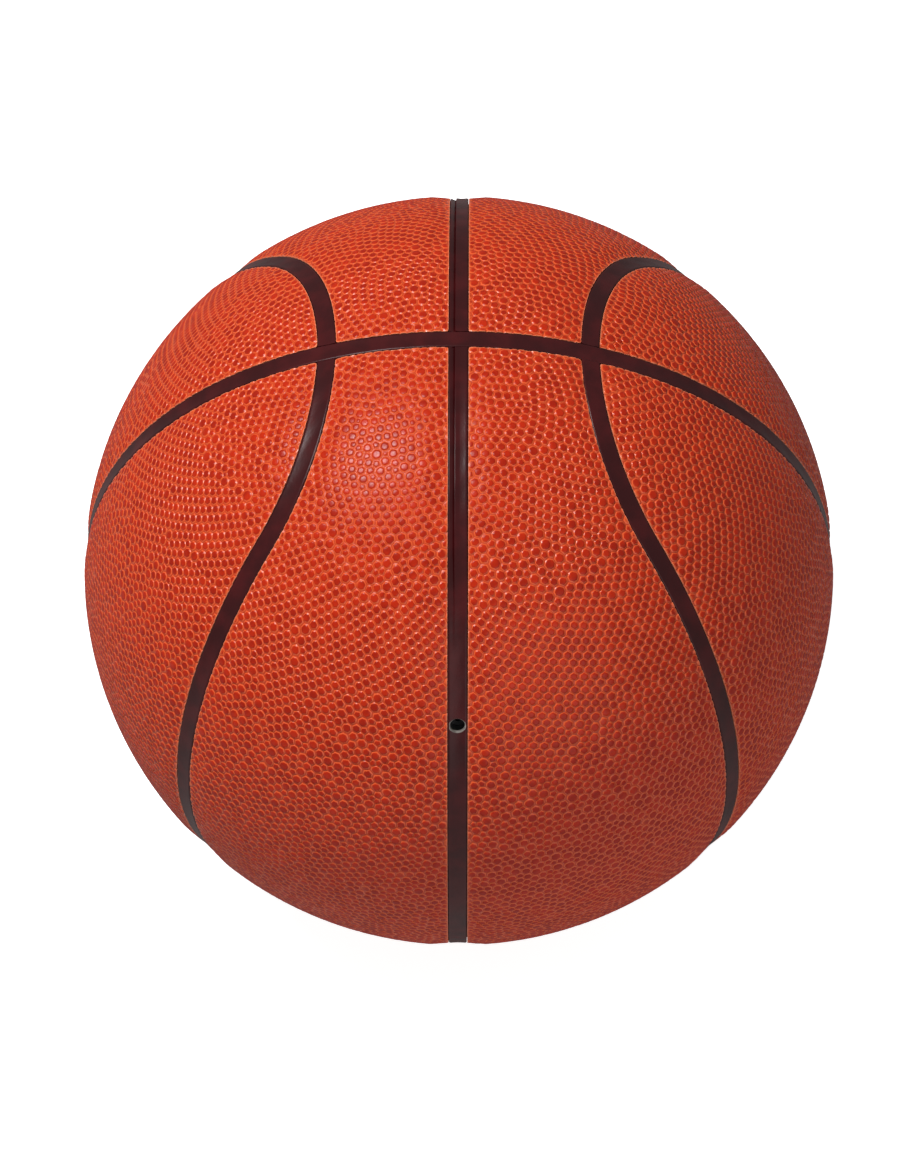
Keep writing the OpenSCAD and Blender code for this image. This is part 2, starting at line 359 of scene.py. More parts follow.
valveMaterial = smoothRubber("valveRubber", valve)
innerMaterials = {
    "carcass": smoothRubber("carcassRubber", carcass),
    "bladder": smoothRubber("butylRubber", bladder),
    "thread_winding": woundThread(),
    "valve_housing": valveMaterial,
    "valve_core": valveMaterial,
}
for node, material in innerMaterials.items():
    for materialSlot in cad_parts[node].material_slots:
        materialSlot.material = material
print("inner layers finished")

# Where the seams run. The curved seam is an oval of four tangent arcs, and by symmetry one
# octant describes it: a tight arc about endAxis and a wide arc about sideAxis.
endAngle = math.radians(ball["neck"] + ball["endArc"])
endArc = math.radians(ball["endArc"])
belly = math.radians(ball["belly"])
sideArc = math.atan2(math.cos(endArc) - math.sin(endAngle) * math.sin(belly),
                     math.sin(endAngle) * math.cos(belly) - math.sin(endArc))
sideAngle = belly + sideArc
endAxis = np.array([math.sin(endAngle), 0, math.cos(endAngle)])
sideAxis = np.array([math.sin(sideAngle), math.cos(sideAngle), 0])
parting = np.cross(endAxis, sideAxis)  # the two arcs meet on this plane
parting /= np.linalg.norm(parting)


def seamOffsets(points):
    # mm from the middle of the centre, cross and curved seams, the last negative inside the loop
    unit = np.abs(points) / np.linalg.norm(points, axis=1)[:, None]
    toEnd = np.arccos(np.clip(unit @ endAxis, -1, 1)) - endArc
    toSide = np.arccos(np.clip(unit @ sideAxis, -1, 1)) - sideArc
    curved = np.sin(np.where(unit @ parting > 0, toSide, toEnd))
    return unit[:, 0] * ball["radius"], unit[:, 1] * ball["radius"], curved * ball["radius"]


def arcPath(axis, zero, polar, start, end, count):  # unit vectors round an axis
    zero = np.array(zero) - axis * (axis @ zero)
    zero = zero / np.linalg.norm(zero)
    around = np.linspace(start, end, count)[:, None]
    way = np.cos(around) * zero + np.sin(around) * np.cross(axis, zero)
    return math.cos(polar) * axis + math.sin(polar) * way


def angleAbout(axis, zero, point):
    zero = np.array(zero) - axis * (axis @ zero)
    zero = zero / np.linalg.norm(zero)
    return math.atan2(point @ np.cross(axis, zero), point @ zero)


def curvedPath(radius, offset, end, count=150):
    # Along a curved seam with x and y above 0, offset mm to its outer side, from end mm beside
    # the cross seam at the top to the same place at the bottom
    toSeam = [-1.0, 0, 0]
    polar = endArc + math.asin(offset / radius)
    meeting = np.cross(parting, endAxis)
    meeting *= math.copysign(1, meeting[1])
    last = angleAbout(endAxis, toSeam, meeting)
    first = math.copysign(math.asin(end / radius / math.sin(polar)), last)
    upper = arcPath(endAxis, toSeam, polar, first, last, count)
    polar = sideArc + math.asin(offset / radius)
    meeting = np.cross(parting, sideAxis)
    meeting *= math.copysign(1, meeting[2])
    half = angleAbout(sideAxis, [0, 1.0, 0], meeting)
    wide = arcPath(sideAxis, [0, 1.0, 0], polar, half, -half, 2 * count)
    return np.vstack([upper, wide[1:-1], upper[::-1] * [1, 1, -1]])


def greatPath(axis, radius, offset, start, end, count=400):
    # Beside the centre seam (axis 0) or the cross seam (axis 1)
    angle = np.linspace(start, end, count)
    away = offset / radius
    flat = math.sqrt(1 - away * away)
    way = np.full((count, 3), away)
    way[:, 1 - axis] = flat * np.sin(angle)
    way[:, 2] = flat * np.cos(angle)
    return way


def resample(path, count, trim=0.0):  # evenly spaced unit vectors along a path
    gone = np.concatenate([[0], np.cumsum(np.linalg.norm(np.diff(path, axis=0), axis=1))])
    at = np.linspace(trim, gone[-1] - trim, count)
    found = np.stack([np.interp(at, gone, path[:, i]) for i in range(3)], axis=1)
    return found / np.linalg.norm(found, axis=1)[:, None]


# Composite leather panels: pebbled, rolled down to the seams
panel = {
    "pebbleSpacing": 2.76,   # mm between the middles of two pebbles
    "pebbleHeight": 0.42,
    "jitter": 0.18,          # share of the spacing
    "seed": 4,
    "evening": 3,            # rounds
    "rings": [(0.94, 0.06, 0.3), (0.84, 0.44, 0.7),
              (0.74, 0.87, 0.9), (0.48, 1.0, 1.0)],  # width, height, roundness
    "lumps": 330,            # turns of the unevenness in a metre
    "lumpShare": 0.3,        # of a pebble's height
    "lumpSink": 0.05,
    "rollWidth": 6.2,        # from the wall to where the panel starts to roll down
    "rollDepth": 0.74,
    "rollMost": 1.3,         # share of the roll at which it ends, inside the channel
    "rollPower": 1.1,        # near 1 is a slope with a clear fold at its top
    "rollBlend": 4,          # how two rolls join at a panel's corner
    "edgeGrain": 0.5,        # share of the pebbles' height that is left at the wall
    "grainFrom": -0.2, "grainFull": 1.3,   # mm from the wall
    "grainLimits": (-0.2, 1.2),            # of what the leather reads, in pebble heights
    "rim": 2.0,              # the turned-down rim round the foam pad
    "hollow": 119.3,         # radius of the hollow's roof
    "cutAbove": 4.0,         # mm that the cutting solid stands over the ball
    "corner": 0.8, "cornerPoints": 6,
    "fill": 5.0, "fillClear": 0.45,        # mm between filling points, share clear of the outline
    "centrePoints": (250, 26, 270),        # points along the centre, cross and curved seams
    "sidePoints": (260, 190),              # and along the curved and cross seams
    "centreMiddle": 17, "sideMiddle": 70,  # degrees round the ball's belly from the centre seam
}


def newTree(name, sockets):
    tree = bpy.data.node_groups.new(name, "GeometryNodeTree")
    for socket, kind in [("Geometry", "Geometry")] + sockets:
        tree.interface.new_socket(socket, in_out="INPUT", socket_type="NodeSocket" + kind)
    tree.interface.new_socket("Geometry", in_out="OUTPUT", socket_type="NodeSocketGeometry")
    return tree, addNode(tree, "NodeGroupInput").outputs


def cellTree():
    # One point for each pebble, on a golden spiral with a little jitter, joined to a ball
    tree, given = newTree("pebbleMiddles", [("Ball Radius", "Float"), ("Count", "Int"),
                                            ("Jitter", "Float"), ("Seed", "Int"),
                                            ("Leather", "Material")])
    spots = addNode(tree, "GeometryNodePoints", {"Count": given["Count"]})
    index = addNode(tree, "GeometryNodeInputIndex")
    half = addNode(tree, "ShaderNodeMath", {0: index, 1: 0.5})
    share = addNode(tree, "ShaderNodeMath", {0: half, 1: given["Count"]}, operation="DIVIDE")
    z = addNode(tree, "ShaderNodeMath", {0: share, 1: -2.0, 2: 1.0}, operation="MULTIPLY_ADD")
    square = addNode(tree, "ShaderNodeMath", {0: z, 1: z}, operation="MULTIPLY")
    left = addNode(tree, "ShaderNodeMath", {0: 1.0, 1: square}, operation="SUBTRACT")
    wide = addNode(tree, "ShaderNodeMath", {0: left}, operation="SQRT")
    golden = (math.sqrt(5) - 1) / 2
    blockSize = 256.0  # turns are counted in blocks, which keeps them exact
    blocks = addNode(tree, "ShaderNodeMath", {0: index, 1: blockSize}, operation="DIVIDE")
    whole = addNode(tree, "ShaderNodeMath", {0: blocks}, operation="FLOOR")
    rest = addNode(tree, "ShaderNodeMath", {0: whole, 1: -blockSize, 2: index},
                   operation="MULTIPLY_ADD")
    restTurns = addNode(tree, "ShaderNodeMath", {0: rest, 1: golden}, operation="MULTIPLY")
    turns = addNode(tree, "ShaderNodeMath", {0: whole, 1: blockSize * golden % 1, 2: restTurns},
                    operation="MULTIPLY_ADD")
    part = addNode(tree, "ShaderNodeMath", {0: turns}, operation="FRACT")
    turn = addNode(tree, "ShaderNodeMath", {0: part, 1: math.tau}, operation="MULTIPLY")
    cosine = addNode(tree, "ShaderNodeMath", {0: turn}, operation="COSINE")
    sine = addNode(tree, "ShaderNodeMath", {0: turn}, operation="SINE")
    x = addNode(tree, "ShaderNodeMath", {0: wide, 1: cosine}, operation="MULTIPLY")
    y = addNode(tree, "ShaderNodeMath", {0: wide, 1: sine}, operation="MULTIPLY")
    spot = addNode(tree, "ShaderNodeCombineXYZ", {0: x, 1: y, 2: z})
    shake = addNode(tree, "FunctionNodeRandomValue",
                    {0: (-1, -1, -1), 1: (1, 1, 1), "Seed": given["Seed"]},
                    data_type="FLOAT_VECTOR")
    away = addNode(tree, "ShaderNodeVectorMath", {0: shake, "Scale": given["Jitter"]},
                   operation="SCALE")
    moved = addNode(tree, "ShaderNodeVectorMath", {0: spot, 1: away})
    unit = addNode(tree, "ShaderNodeVectorMath", {0: moved}, operation="NORMALIZE")
    onBall = addNode(tree, "ShaderNodeVectorMath", {0: unit, "Scale": given["Ball Radius"]},
                     operation="SCALE")
    placed = addNode(tree, "GeometryNodeSetPosition", {"Geometry": spots, "Position": onBall})
    hull = addNode(tree, "GeometryNodeConvexHull", {"Geometry": placed})
    real = addNode(tree, "GeometryNodeRealizeInstances", {"Geometry": hull})
    finished = addNode(tree, "GeometryNodeSetMaterial",
                       {"Geometry": real, "Material": given["Leather"]})
    addNode(tree, "NodeGroupOutput", {0: finished})
    return tree


def pebbleTree():
    # A cell round each point, raised in rings to a round dome
    tree, given = newTree("pebbles", [("Ball Radius", "Float"), ("Pebble Height", "Float"),
                                      ("Leather", "Material")])
    place = addNode(tree, "GeometryNodeInputPosition")
    unit = addNode(tree, "ShaderNodeVectorMath", {0: place}, operation="NORMALIZE")
    valley = addNode(tree, "ShaderNodeMath", {0: given["Ball Radius"], 1: given["Pebble Height"]},
                     operation="SUBTRACT")
    dual = addNode(tree, "GeometryNodeDualMesh", {"Mesh": given["Geometry"]})
    low = addNode(tree, "ShaderNodeVectorMath", {0: unit, "Scale": valley}, operation="SCALE")
    cells = addNode(tree, "GeometryNodeSetPosition", {"Geometry": dual, "Position": low})
    area = addNode(tree, "GeometryNodeInputMeshFaceArea")
    disc = addNode(tree, "ShaderNodeMath", {0: area, 1: math.pi}, operation="DIVIDE")
    keep = addNode(tree, "GeometryNodeCaptureAttribute", domain="FACE")
    keep.capture_items.new("VECTOR", "middle")
    keep.capture_items.new("FLOAT", "reach")
    tree.links.new(cells.outputs[0], keep.inputs[0])
    tree.links.new(unit.outputs[0], keep.inputs[1])
    tree.links.new(addNode(tree, "ShaderNodeMath", {0: disc}, operation="SQRT").outputs[0],
                   keep.inputs[2])
    middle, reach = keep.outputs[1], keep.outputs[2]
    shape, top, lastWidth = keep.outputs[0], None, 1.0
    for width, height, roundness in panel["rings"]:
        raised = addNode(tree, "GeometryNodeExtrudeMesh",
                         {"Mesh": shape, "Individual": True, "Offset Scale": 0.0}, mode="FACES")
        if top is not None:
            tree.links.new(top, raised.inputs["Selection"])
        top = raised.outputs["Top"]
        along = addNode(tree, "ShaderNodeVectorMath", {0: place, 1: middle},
                        operation="DOT_PRODUCT")
        foot = addNode(tree, "ShaderNodeVectorMath", {0: middle, "Scale": along},
                       operation="SCALE")
        away = addNode(tree, "ShaderNodeVectorMath", {0: place, 1: foot}, operation="SUBTRACT")
        outward = addNode(tree, "ShaderNodeVectorMath", {0: away}, operation="NORMALIZE")
        length = addNode(tree, "ShaderNodeVectorMath", {0: away}, operation="LENGTH")
        own = addNode(tree, "ShaderNodeMath", {0: length, 1: (1 - roundness) * width / lastWidth},
                      operation="MULTIPLY")
        both = addNode(tree, "ShaderNodeMath", {0: reach, 1: width * roundness, 2: own},
                       operation="MULTIPLY_ADD")
        level = addNode(tree, "ShaderNodeMath", {0: given["Pebble Height"], 1: height, 2: valley},
                        operation="MULTIPLY_ADD")
        centre = addNode(tree, "ShaderNodeVectorMath", {0: middle, "Scale": level},
                         operation="SCALE")
        side = addNode(tree, "ShaderNodeVectorMath", {0: outward, "Scale": both},
                       operation="SCALE")
        spot = addNode(tree, "ShaderNodeVectorMath", {0: centre, 1: side})
        shape = addNode(tree, "GeometryNodeSetPosition",
                        {"Geometry": raised, "Selection": top, "Position": spot})
        lastWidth = width
    real = addNode(tree, "GeometryNodeRealizeInstances", {"Geometry": shape})
    finished = addNode(tree, "GeometryNodeSetMaterial",
                       {"Geometry": real, "Material": given["Leather"]})
    addNode(tree, "NodeGroupOutput", {0: finished})
    return tree


def evaluated(source):  # a plain mesh of what an object's modifiers make of it
    graph = bpy.context.evaluated_depsgraph_get()
    result = bpy.data.meshes.new_from_object(source.evaluated_get(graph))
    bpy.data.objects.remove(source)
    return result


def applyTree(tree, values, mesh=None):
    source = addObject("source", mesh or bpy.data.meshes.new("source"))
    runs = source.modifiers.new("nodes", "NODES")
    runs.node_group = tree
    for item in tree.interface.items_tree:
        if item.in_out == "INPUT" and item.name in values:
            runs[item.identifier] = values[item.name]
    return evaluated(source)


def vertexArray(mesh):
    flat = np.empty(len(mesh.vertices) * 3, np.float32)
    mesh.vertices.foreach_get("co", flat)
    return flat.reshape(-1, 3).astype(float)


def floatAttribute(mesh, name, values):
    made = mesh.attributes.new(name, "FLOAT", "POINT")
    made.data.foreach_set("value", np.asarray(values, np.float32))


def rollAt(points):
    # mm that the panels lie under the ball near the seams, share of grain left, mm to a wall
    total, nearest = np.zeros(len(points)), np.full(len(points), 1e3)
    for offset in seamOffsets(points):
        away = np.abs(offset)
        share = (ball["wall"] + panel["rollWidth"] - away) / panel["rollWidth"]
        share = np.clip(share, 0, panel["rollMost"])
        total += (panel["rollDepth"] * share ** panel["rollPower"]) ** panel["rollBlend"]
        nearest = np.minimum(nearest, away)
    toWall = nearest - ball["wall"]
    left = smoothStep(panel["grainFrom"], panel["grainFull"], toWall)
    left = panel["edgeGrain"] + (1 - panel["edgeGrain"]) * left
    return total ** (1 / panel["rollBlend"]), left, toWall


def evenOut(mesh, rounds):
    # Turns edges until each point is joined to its nearest neighbours, then moves it between them
    work = bmesh.new()
    work.from_mesh(mesh)
    bmesh.ops.triangulate(work, faces=work.faces[:])
    for i in range(rounds + 1):
        bmesh.ops.beautify_fill(work, faces=work.faces[:], edges=work.edges[:], method="ANGLE")
        work.to_mesh(mesh)
        if i == rounds:
            break
        p = vertexArray(mesh)
        corners = np.empty(len(mesh.polygons) * 3, np.int32)
        mesh.polygons.foreach_get("vertices", corners)
        corners = corners.reshape(-1, 3)
        a, b, c = p[corners[:, 0]], p[corners[:, 1]], p[corners[:, 2]]
        area = np.linalg.norm(np.cross(b - a, c - a), axis=1)
        pull = (a + b + c) * area[:, None]
        moved = np.stack([sum(np.bincount(corners[:, k], pull[:, i], len(p)) for k in range(3))
                          for i in range(3)], axis=1)
        moved *= ball["radius"] * mm / np.linalg.norm(moved, axis=1)[:, None]
        for vertex, spot in zip(work.verts, moved.tolist()):
            vertex.co = spot
    work.free()


cellCount = int(4 * math.pi * ball["radius"] ** 2 / (rowShare * panel["pebbleSpacing"] ** 2))
middlesMesh = applyTree(cellTree(), {
    "Ball Radius": ball["radius"] * mm, "Count": cellCount, "Seed": panel["seed"],
    "Jitter": panel["jitter"] * panel["pebbleSpacing"] / ball["radius"],
    "Leather": leatherMaterial})
evenOut(middlesMesh, panel["evening"])
pebbled = applyTree(pebbleTree(), {
    "Ball Radius": ball["radius"] * mm, "Pebble Height": panel["pebbleHeight"] * mm,
    "Leather": leatherMaterial}, middlesMesh)
points = vertexArray(pebbled)
radius = np.linalg.norm(points, axis=1)
high = radius / mm - (ball["radius"] - panel["pebbleHeight"])
uneven = np.array([noise.noise(Vector(p) * panel["lumps"]) for p in points])
high = high * (1 + panel["lumpShare"] * uneven) - panel["lumpSink"] * np.maximum(uneven, 0)
depth, grainLeft, _ = rollAt(points)
surface = ball["radius"] - depth - (panel["pebbleHeight"] - high) * grainLeft
surface = np.minimum(surface, ball["radius"])
points *= (surface * mm / radius)[:, None]
pebbled.vertices.foreach_set("co", points.astype(np.float32).ravel())
pebbledBall = addObject("pebbledBall", pebbled)
print("pebbles raised:", len(pebbled.polygons), "faces", round(time.time() - started, 1), "s")


def closedOutline(sides, radius):
    # Joins the sides of a panel, each (path, count), with small round corners
    trim = panel["corner"] / radius
    cut = [resample(path, count, trim) for path, count in sides]
    outline = []
    for i, side in enumerate(cut):
        after = cut[(i + 1) % len(cut)]
        tip = sides[i][0][-1]
        t = np.linspace(0, 1, panel["cornerPoints"] + 2)[1:-1, None]
        bend = (1 - t) ** 2 * side[-1] + 2 * t * (1 - t) * tip + t * t * after[0]
        outline += [side, bend / np.linalg.norm(bend, axis=1)[:, None]]
    return np.vstack(outline)


def centreOutline(radius, wall):  # a centre panel's outline with x and y above 0
    corner = math.asin(wall / radius)
    curved = curvedPath(radius, wall, wall)
    neck = math.atan2(curved[0][0], curved[0][2])
    longCount, endCount, curvedCount = panel["centrePoints"]
    return closedOutline([(greatPath(0, radius, wall, corner, math.pi - corner), longCount),
                          (greatPath(1, radius, wall, math.pi - corner, math.pi - neck), endCount),
                          (curved[::-1], curvedCount),
                          (greatPath(1, radius, wall, neck, corner), endCount)], radius)


def sideOutline(radius, wall):  # a side panel's outline with x and y above 0
    curved = curvedPath(radius, -wall, wall)
    neck = math.atan2(curved[0][0], curved[0][2])
    curvedCount, crossCount = panel["sidePoints"]
    return closedOutline([(curved, curvedCount),
                          (greatPath(1, radius, wall, math.pi - neck, neck), crossCount)], radius)


def fillOutline(outline, middle):
    # Triangles that fill an outline on the unit ball, and the points inside it
    spacing = panel["fill"] / ball["radius"]
    side = np.cross([0, 0, 1.0], middle)
    up = np.cross(middle, side)

    def flatten(p):
        around = np.stack([p @ side, p @ up], axis=1)
        angle = np.arccos(np.clip(p @ middle, -1, 1))
        return around * (angle / np.linalg.norm(around, axis=1))[:, None]

    flat = flatten(outline)
    low, top = flat.min(axis=0), flat.max(axis=0)
    grid = np.array([(low[0] + (i + 0.5 * (j % 2)) * spacing, low[1] + j * spacing * rowShare)
                     for j in range(int((top[1] - low[1]) / spacing / rowShare) + 1)
                     for i in range(int((top[0] - low[0]) / spacing) + 1)])
    a, b = flat, np.roll(flat, -1, axis=0)
    rise = b[:, 1] - a[:, 1] + 1e-30  # never 0
    edgeX = (b[:, 0] - a[:, 0]) * (grid[:, 1:] - a[:, 1]) / rise + a[:, 0]
    crosses = ((a[:, 1] > grid[:, 1:]) != (b[:, 1] > grid[:, 1:])) & (grid[:, :1] < edgeX)
    nearest = np.sqrt(((grid[:, None, :] - flat[None]) ** 2).sum(axis=2)).min(axis=1)
    grid = grid[(crosses.sum(axis=1) % 2 == 1) & (nearest > spacing * panel["fillClear"])]
    made = geometry.delaunay_2d_cdt([Vector(p) for p in np.vstack([flat, grid])], [],
                                    [list(range(len(flat)))], 1, 1e-9)
    angle = np.linalg.norm(grid, axis=1)[:, None]
    way = (grid[:, :1] * side + grid[:, 1:] * up) / angle
    inner = np.cos(angle) * middle + np.sin(angle) * way
    return [[made[3][i][0] for i in face] for face in made[2]], inner


def layeredSolid(name, outlineOf, middle, flip, levels, material):
    # A closed solid of a panel's outline: each level is a radius and mm from the seams' middles
    loops = [outlineOf(*level) for level in levels]
    middle = np.array(middle) / np.linalg.norm(middle)
    if np.cross(loops[0], np.roll(loops[0], -1, axis=0)).sum(axis=0) @ middle < 0:
        loops = [loop[::-1] for loop in loops]  # all run anticlockwise as seen from outside
    roof, under = fillOutline(loops[0], middle), fillOutline(loops[-1], middle)
    count, last = len(loops[0]), len(loops[0]) * (len(levels) - 1)
    points = [loop * level[0] for loop, level in zip(loops, levels)]
    points += [roof[1] * levels[0][0], under[1] * levels[-1][0]]
    points = np.vstack(points) * mm * flip
    faces = [[i if i < count else i + last for i in face] for face in roof[0]]
    faces += [[i + last if i < count else i + last + len(roof[1]) for i in face][::-1]
              for face in under[0]]
    for a in range(0, last, count):
        b = a + count
        faces += [[a + i, b + i, b + (i + 1) % count, a + (i + 1) % count] for i in range(count)]
    if flip[0] * flip[1] < 0:
        faces = [face[::-1] for face in faces]
    mesh = bpy.data.meshes.new(name)
    mesh.from_pydata(points.tolist(), [], faces)
    mesh.materials.append(material)
    return mesh


def booleanMesh(name, mesh, other, operation):
    source = addObject(name, mesh)
    cut = source.modifiers.new("cut", "BOOLEAN")
    cut.object, cut.operation, cut.solver = other, operation, "MANIFOLD"
    cut.material_mode = "TRANSFER"
    result = evaluated(source)
    result.name = name
    return result


def finishPiece(name, mesh, node, sharp=60):
    mesh.polygons.foreach_set("use_smooth", np.ones(len(mesh.polygons), bool))
    mesh.set_sharp_from_angle(angle=math.radians(sharp))
    made = addObject(name, mesh)
    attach(made, "root")
    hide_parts(node)
    return made


def bellyPoint(degrees):  # on the unit ball, at the height of its middle
    return math.sin(math.radians(degrees)), math.cos(math.radians(degrees)), 0


middles = {"centre": bellyPoint(panel["centreMiddle"]), "side": bellyPoint(panel["sideMiddle"])}
wall, rim = ball["wall"], ball["wall"] + panel["rim"]
cutterLevels = [(ball["radius"] + panel["cutAbove"], wall), (ball["carcass"], wall),
                (ball["carcass"], rim), (panel["hollow"], rim)]

# Closed-cell sponge rubber sheet, split from a block, so its faces show cut cells
pad = {
    "colour": "#cdbf94", "cellDark": "#a5956a", "roughness": (0.9, 0.75), "specular": 0.2,
    "cell": 1.2,              # mm, real cells are about 0.3 mm, drawn coarser to show
    "cellDepth": 0.1,
    "top": 119.15, "under": 118.05, "inset": 5.05, "edgeRound": 0.13,
}


def spongeRubber():
    made, tree, shader, place = newMaterial("spongeRubber", pad["colour"],
                                            {"Specular IOR Level": pad["specular"]})
    cells = addNode(tree, "ShaderNodeTexVoronoi", {"Vector": place, "Scale": 1000 / pad["cell"]})
    colour = addNode(tree, "ShaderNodeMix", {0: cells, 6: linear(pad["cellDark"]),
                                             7: linear(pad["colour"])}, data_type="RGBA")
    dull = addNode(tree, "ShaderNodeMapRange", {0: cells, 3: pad["roughness"][0],
                                                4: pad["roughness"][1]})
    bump = addNode(tree, "ShaderNodeBump", {"Height": cells, "Distance": pad["cellDepth"] * mm})
    connect(tree, shader, {"Base Color": colour, "Roughness": dull, "Normal": bump})
    return made


spongeMaterial = spongeRubber()
edgeIn = pad["inset"] + pad["edgeRound"] * 2
padLevels = [(pad["top"], edgeIn), (pad["top"] - pad["edgeRound"], pad["inset"]),
             (pad["under"] + pad["edgeRound"], pad["inset"]), (pad["under"], edgeIn)]
for quarter, flipX, flipY in quarters:
    for kind, outlineOf in (("centre", centreOutline), ("side", sideOutline)):
        turned = (flipX, flipY, 1)
        cutter = layeredSolid(kind, outlineOf, middles[kind], turned, cutterLevels, leatherMaterial)
        mesh = booleanMesh(f"{kind}Panel_{quarter}", cutter, pebbledBall, "INTERSECT")
        points = vertexArray(mesh)
        radius = np.linalg.norm(points, axis=1) / mm
        depth, grainLeft, toWall = rollAt(points)
        low = ball["radius"] - depth - panel["pebbleHeight"] * grainLeft
        grain = (radius - low) / panel["pebbleHeight"]
        floatAttribute(mesh, "grain", np.clip(grain, *panel["grainLimits"]))
        floatAttribute(mesh, "wall", toWall)
        finishPiece(f"{kind}Panel_{quarter}", mesh, f"{kind}_panel_{quarter}")
        mesh = layeredSolid(f"{kind}Pad_{quarter}", outlineOf, middles[kind], turned, padLevels,
                            spongeMaterial)
        made = finishPiece(f"{kind}Pad_{quarter}", mesh, f"{kind}_pad_{quarter}",
                           sharp=50)
bpy.data.objects.remove(pebbledBall)
print("panels cut", round(time.time() - started, 1), "s")


# Seam strips of natural rubber, smooth from a polished mould: a dark maroon with a thin soft sheen.
# One section is swept along each seam.
strip = {
    "colour": "#2c0709", "worn": "#3c0c0e", "roughness": (0.42, 0.62),
    "film": 0.1, "filmRoughness": 0.27, "filmIor": 1.9,
    "patch": 9.0, "scuff": 0.8, "scuffDepth": 0.03,      # mm
    "halfWidth": 2.88, "shoulder": 2.3, "shoulderFall": 0.4,
    "sideDepth": 0.72, "midDepth": 0.86,     # the top is a little hollow
    "pathDepth": 0.8,                        # about the depth of the whole top
    "roundness": 0.999,                      # of a shoulder, whose last step is upright at 1
    "evenEdge": 0.02,                        # mm at the side without unevenness
    "edgeSteps": (0, 0, 0.04, 0.13, 0.28, 0.46),         # mm in from the side
    "topSteps": (2.0, 1.6, 1.2, 1.1, 1.03, 0.97, 0.9, 0.7, 0.4),    # mm from the middle
    "underSteps": (1.3, 0.0, -1.3),          # along the glued underside
    "wave": (0.03, 0.21, 1.3),               # height, turn per mm and start of the unevenness
    "ripple": (0.02, 0.53),
    "buttGap": 0.05, "step": 1.0,            # mm between two sections
    "crossPoints": 1600, "centrePoints": 800,
}
# The fold along the centre strip: its left third leans down, and a thin lip stands beside it
crease = {
    "at": -1.0, "step": 0.18, "leanFrom": -2.9, "leanWidth": 1.7, "lean": 0.6,
    "lip": 0.16, "lipAt": (-1.03, -0.95), "lipFade": (0.5, -0.9),
    "fade": (63, 95),                        # mm along the front strip, where the fold runs out
}
rubberMaterial = smoothRubber("stripRubber", strip)
ringEnd = strip["halfWidth"] + strip["buttGap"]


def sectionOffsets():
    side = [strip["halfWidth"] - step for step in strip["edgeSteps"]]
    side = np.array(side + [strip["shoulder"], *strip["topSteps"]])
    return np.concatenate([-side, [0.0], side[::-1]])


def sectionDepth(offset, along, folded):
    # mm under the ball's surface, where folded is the share of the fold at each place
    away = abs(offset)
    hollow = strip["midDepth"] - strip["sideDepth"]
    flat = strip["midDepth"] - hollow * min(away / strip["shoulder"], 1) ** 2
    over = (away - strip["shoulder"]) / (strip["halfWidth"] - strip["shoulder"])
    depth = flat + strip["shoulderFall"] * (
        1 - math.sqrt(1 - np.clip(over, 0, 1) ** 2 * strip["roundness"]))
    lean = crease["lean"] * np.clip((offset - crease["leanFrom"]) / crease["leanWidth"], 0, 1)
    lean *= smoothStep(crease["at"], crease["at"] - crease["step"], offset)
    lip = smoothStep(*crease["lipAt"], offset) * smoothStep(*crease["lipFade"], offset)
    height, turn, start = strip["wave"]
    wave = height * np.sin(along * turn + start)
    wave = wave + strip["ripple"][0] * np.sin(along * strip["ripple"][1] + offset)
    onTop = away < strip["halfWidth"] - strip["evenEdge"]
    return depth + (lean - crease["lip"] * lip) * folded + wave * onTop


def sweptStrip(name, pathAt, closed, foldedAt=None):
    offsets = sectionOffsets()
    glued = pathAt(ball["carcass"], 0.0)
    length = np.linalg.norm(np.diff(glued, axis=0), axis=1).sum() * ball["radius"]
    count = int(length / strip["step"])
    along = np.linspace(0, length, count)
    folded = foldedAt(along) if foldedAt else np.zeros(count)
    columns = []
    for offset in offsets[1:-1]:
        high = ball["radius"] - sectionDepth(offset, along, folded)
        unit = resample(pathAt(ball["radius"] - strip["pathDepth"], offset), count)
        columns.append(unit * (high * mm)[:, None])
    under = [resample(pathAt(ball["carcass"], offset), count) * ball["carcass"] * mm
             for offset in (offsets[-1], *strip["underSteps"], offsets[0])]
    columns = [under[-1], *columns, *under[:-1]]
    rows = count - 1 if closed else count
    around = len(columns)
    points = np.stack(columns, axis=1)[:rows].reshape(-1, 3)
    faces = [(r * around + c, r * around + (c + 1) % around,
              (r + 1) % rows * around + (c + 1) % around, (r + 1) % rows * around + c)
             for r in range(rows if closed else rows - 1) for c in range(around)]
    if not closed:
        faces += [tuple(range(around))[::-1], tuple(range((rows - 1) * around, rows * around))]
    mesh = bpy.data.meshes.new(name)
    mesh.from_pydata(points.tolist(), [], faces)
    mesh.materials.append(rubberMaterial)
    return turnedOut(mesh)


def turnedOut(mesh):  # makes the faces point outwards
    mesh.calc_loop_triangles()
    corners = np.empty(len(mesh.loop_triangles) * 3, np.int32)
    mesh.loop_triangles.foreach_get("vertices", corners)
    a, b, c = np.moveaxis(vertexArray(mesh)[corners.reshape(-1, 3)], 1, 0)
    if np.einsum("ij,ij->i", a, np.cross(b, c)).sum() < 0:
        mesh.flip_normals()
    return mesh


def crossPath(radius, offset):
    return greatPath(1, radius, offset, 0, math.tau, strip["crossPoints"])


def centrePath(flipY):
    def path(radius, offset):
        end = math.asin(ringEnd / radius)
        way = greatPath(0, radius, offset, end, math.pi - end, strip["centrePoints"])
        return way * [1, flipY, 1]
    return path


def curvedStripPath(flipX, flipY):
    def path(radius, offset):
        return curvedPath(radius, offset, ringEnd) * [flipX, flipY, 1]
    return path
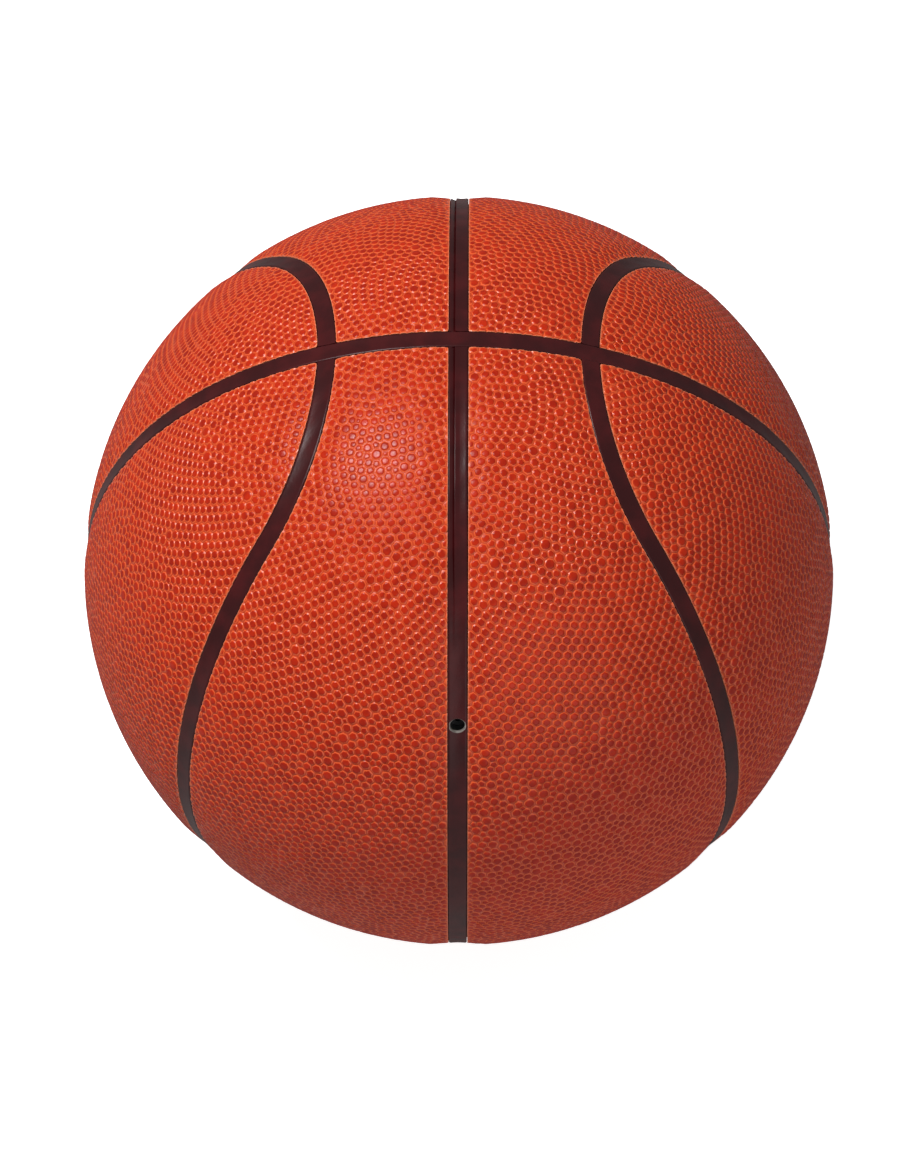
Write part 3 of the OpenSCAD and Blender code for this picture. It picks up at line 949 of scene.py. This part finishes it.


# The valve's mouth: a hole with a round lip through the front centre strip. Its rubber is
# painted pale grey, a painted sheen for its lit lower lip.
mouth = {
    # The pale grey colours are painted sheen on the mouth's lip
    "colour": "#645f5a", "worn": "#8b847e", "roughness": (0.52, 0.72),
    "film": 0.4, "filmRoughness": 0.35, "filmIor": 1.5,
    "patch": 1.5, "scuff": 0.4, "scuffDepth": 0.02,      # mm
    "radius": 2.15, "lip": 0.42, "lipSteps": 6, "sides": 64,
    "bottom": 112.0, "top": 119.72, "cutAbove": 2.0,     # radii of the hole's ends
}
mouthMaterial = smoothRubber("paleSheenRubber", mouth)


def mouthTool():
    profile = [(mouth["bottom"], mouth["radius"])]
    for i in range(mouth["lipSteps"] + 1):
        t = i / mouth["lipSteps"] * math.pi / 2
        profile.append((mouth["top"] - mouth["lip"] * (1 - math.sin(t)),
                        mouth["radius"] + mouth["lip"] * (1 - math.cos(t))))
    profile.append((mouth["top"] + mouth["cutAbove"], mouth["radius"] + mouth["lip"]))
    down = math.radians(ball["valve"])
    axis = np.array([0, -math.sin(down), math.cos(down)])
    side, up = np.array([1.0, 0, 0]), np.cross(axis, [1.0, 0, 0])
    count = mouth["sides"]
    turn = np.linspace(0, 2 * math.pi, count, endpoint=False)[:, None]
    points = np.vstack([axis * height + wide * (np.cos(turn) * side + np.sin(turn) * up)
                        for height, wide in profile])
    faces = [(r * count + i, r * count + (i + 1) % count,
              (r + 1) * count + (i + 1) % count, (r + 1) * count + i)
             for r in range(len(profile) - 1) for i in range(count)]
    last = (len(profile) - 1) * count
    faces += [tuple(range(count))[::-1], tuple(range(last, last + count))]
    mesh = bpy.data.meshes.new("mouthTool")
    mesh.from_pydata((points * mm).tolist(), [], faces)
    mesh.materials.append(mouthMaterial)
    return addObject("mouthTool", turnedOut(mesh))


finishPiece("crossStrip", sweptStrip("crossStrip", crossPath, True),
            "cross_seam_strip", sharp=50)
folds = {"front": lambda along: 1 - smoothStep(*crease["fade"], along),
         "rear": lambda along: np.ones(len(along))}
for side, flipY in (("front", -1), ("rear", 1)):
    mesh = sweptStrip(f"centreStrip_{side}", centrePath(flipY), False, folds[side])
    if side == "front":
        tool = mouthTool()
        mesh = booleanMesh("centreStrip_front", mesh, tool, "DIFFERENCE")
        bpy.data.objects.remove(tool)
    finishPiece(f"centreStrip_{side}", mesh, f"centre_seam_strip_{side}",
                sharp=50)
for quarter, flipX, flipY in quarters:
    mesh = sweptStrip(f"curvedStrip_{quarter}", curvedStripPath(flipX, flipY), False)
    finishPiece(f"curvedStrip_{quarter}", mesh, f"curved_seam_strip_{quarter}",
                sharp=50)
print("strips laid", round(time.time() - started, 1), "s")

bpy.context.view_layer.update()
print("done", round(time.time() - started, 1), "s")
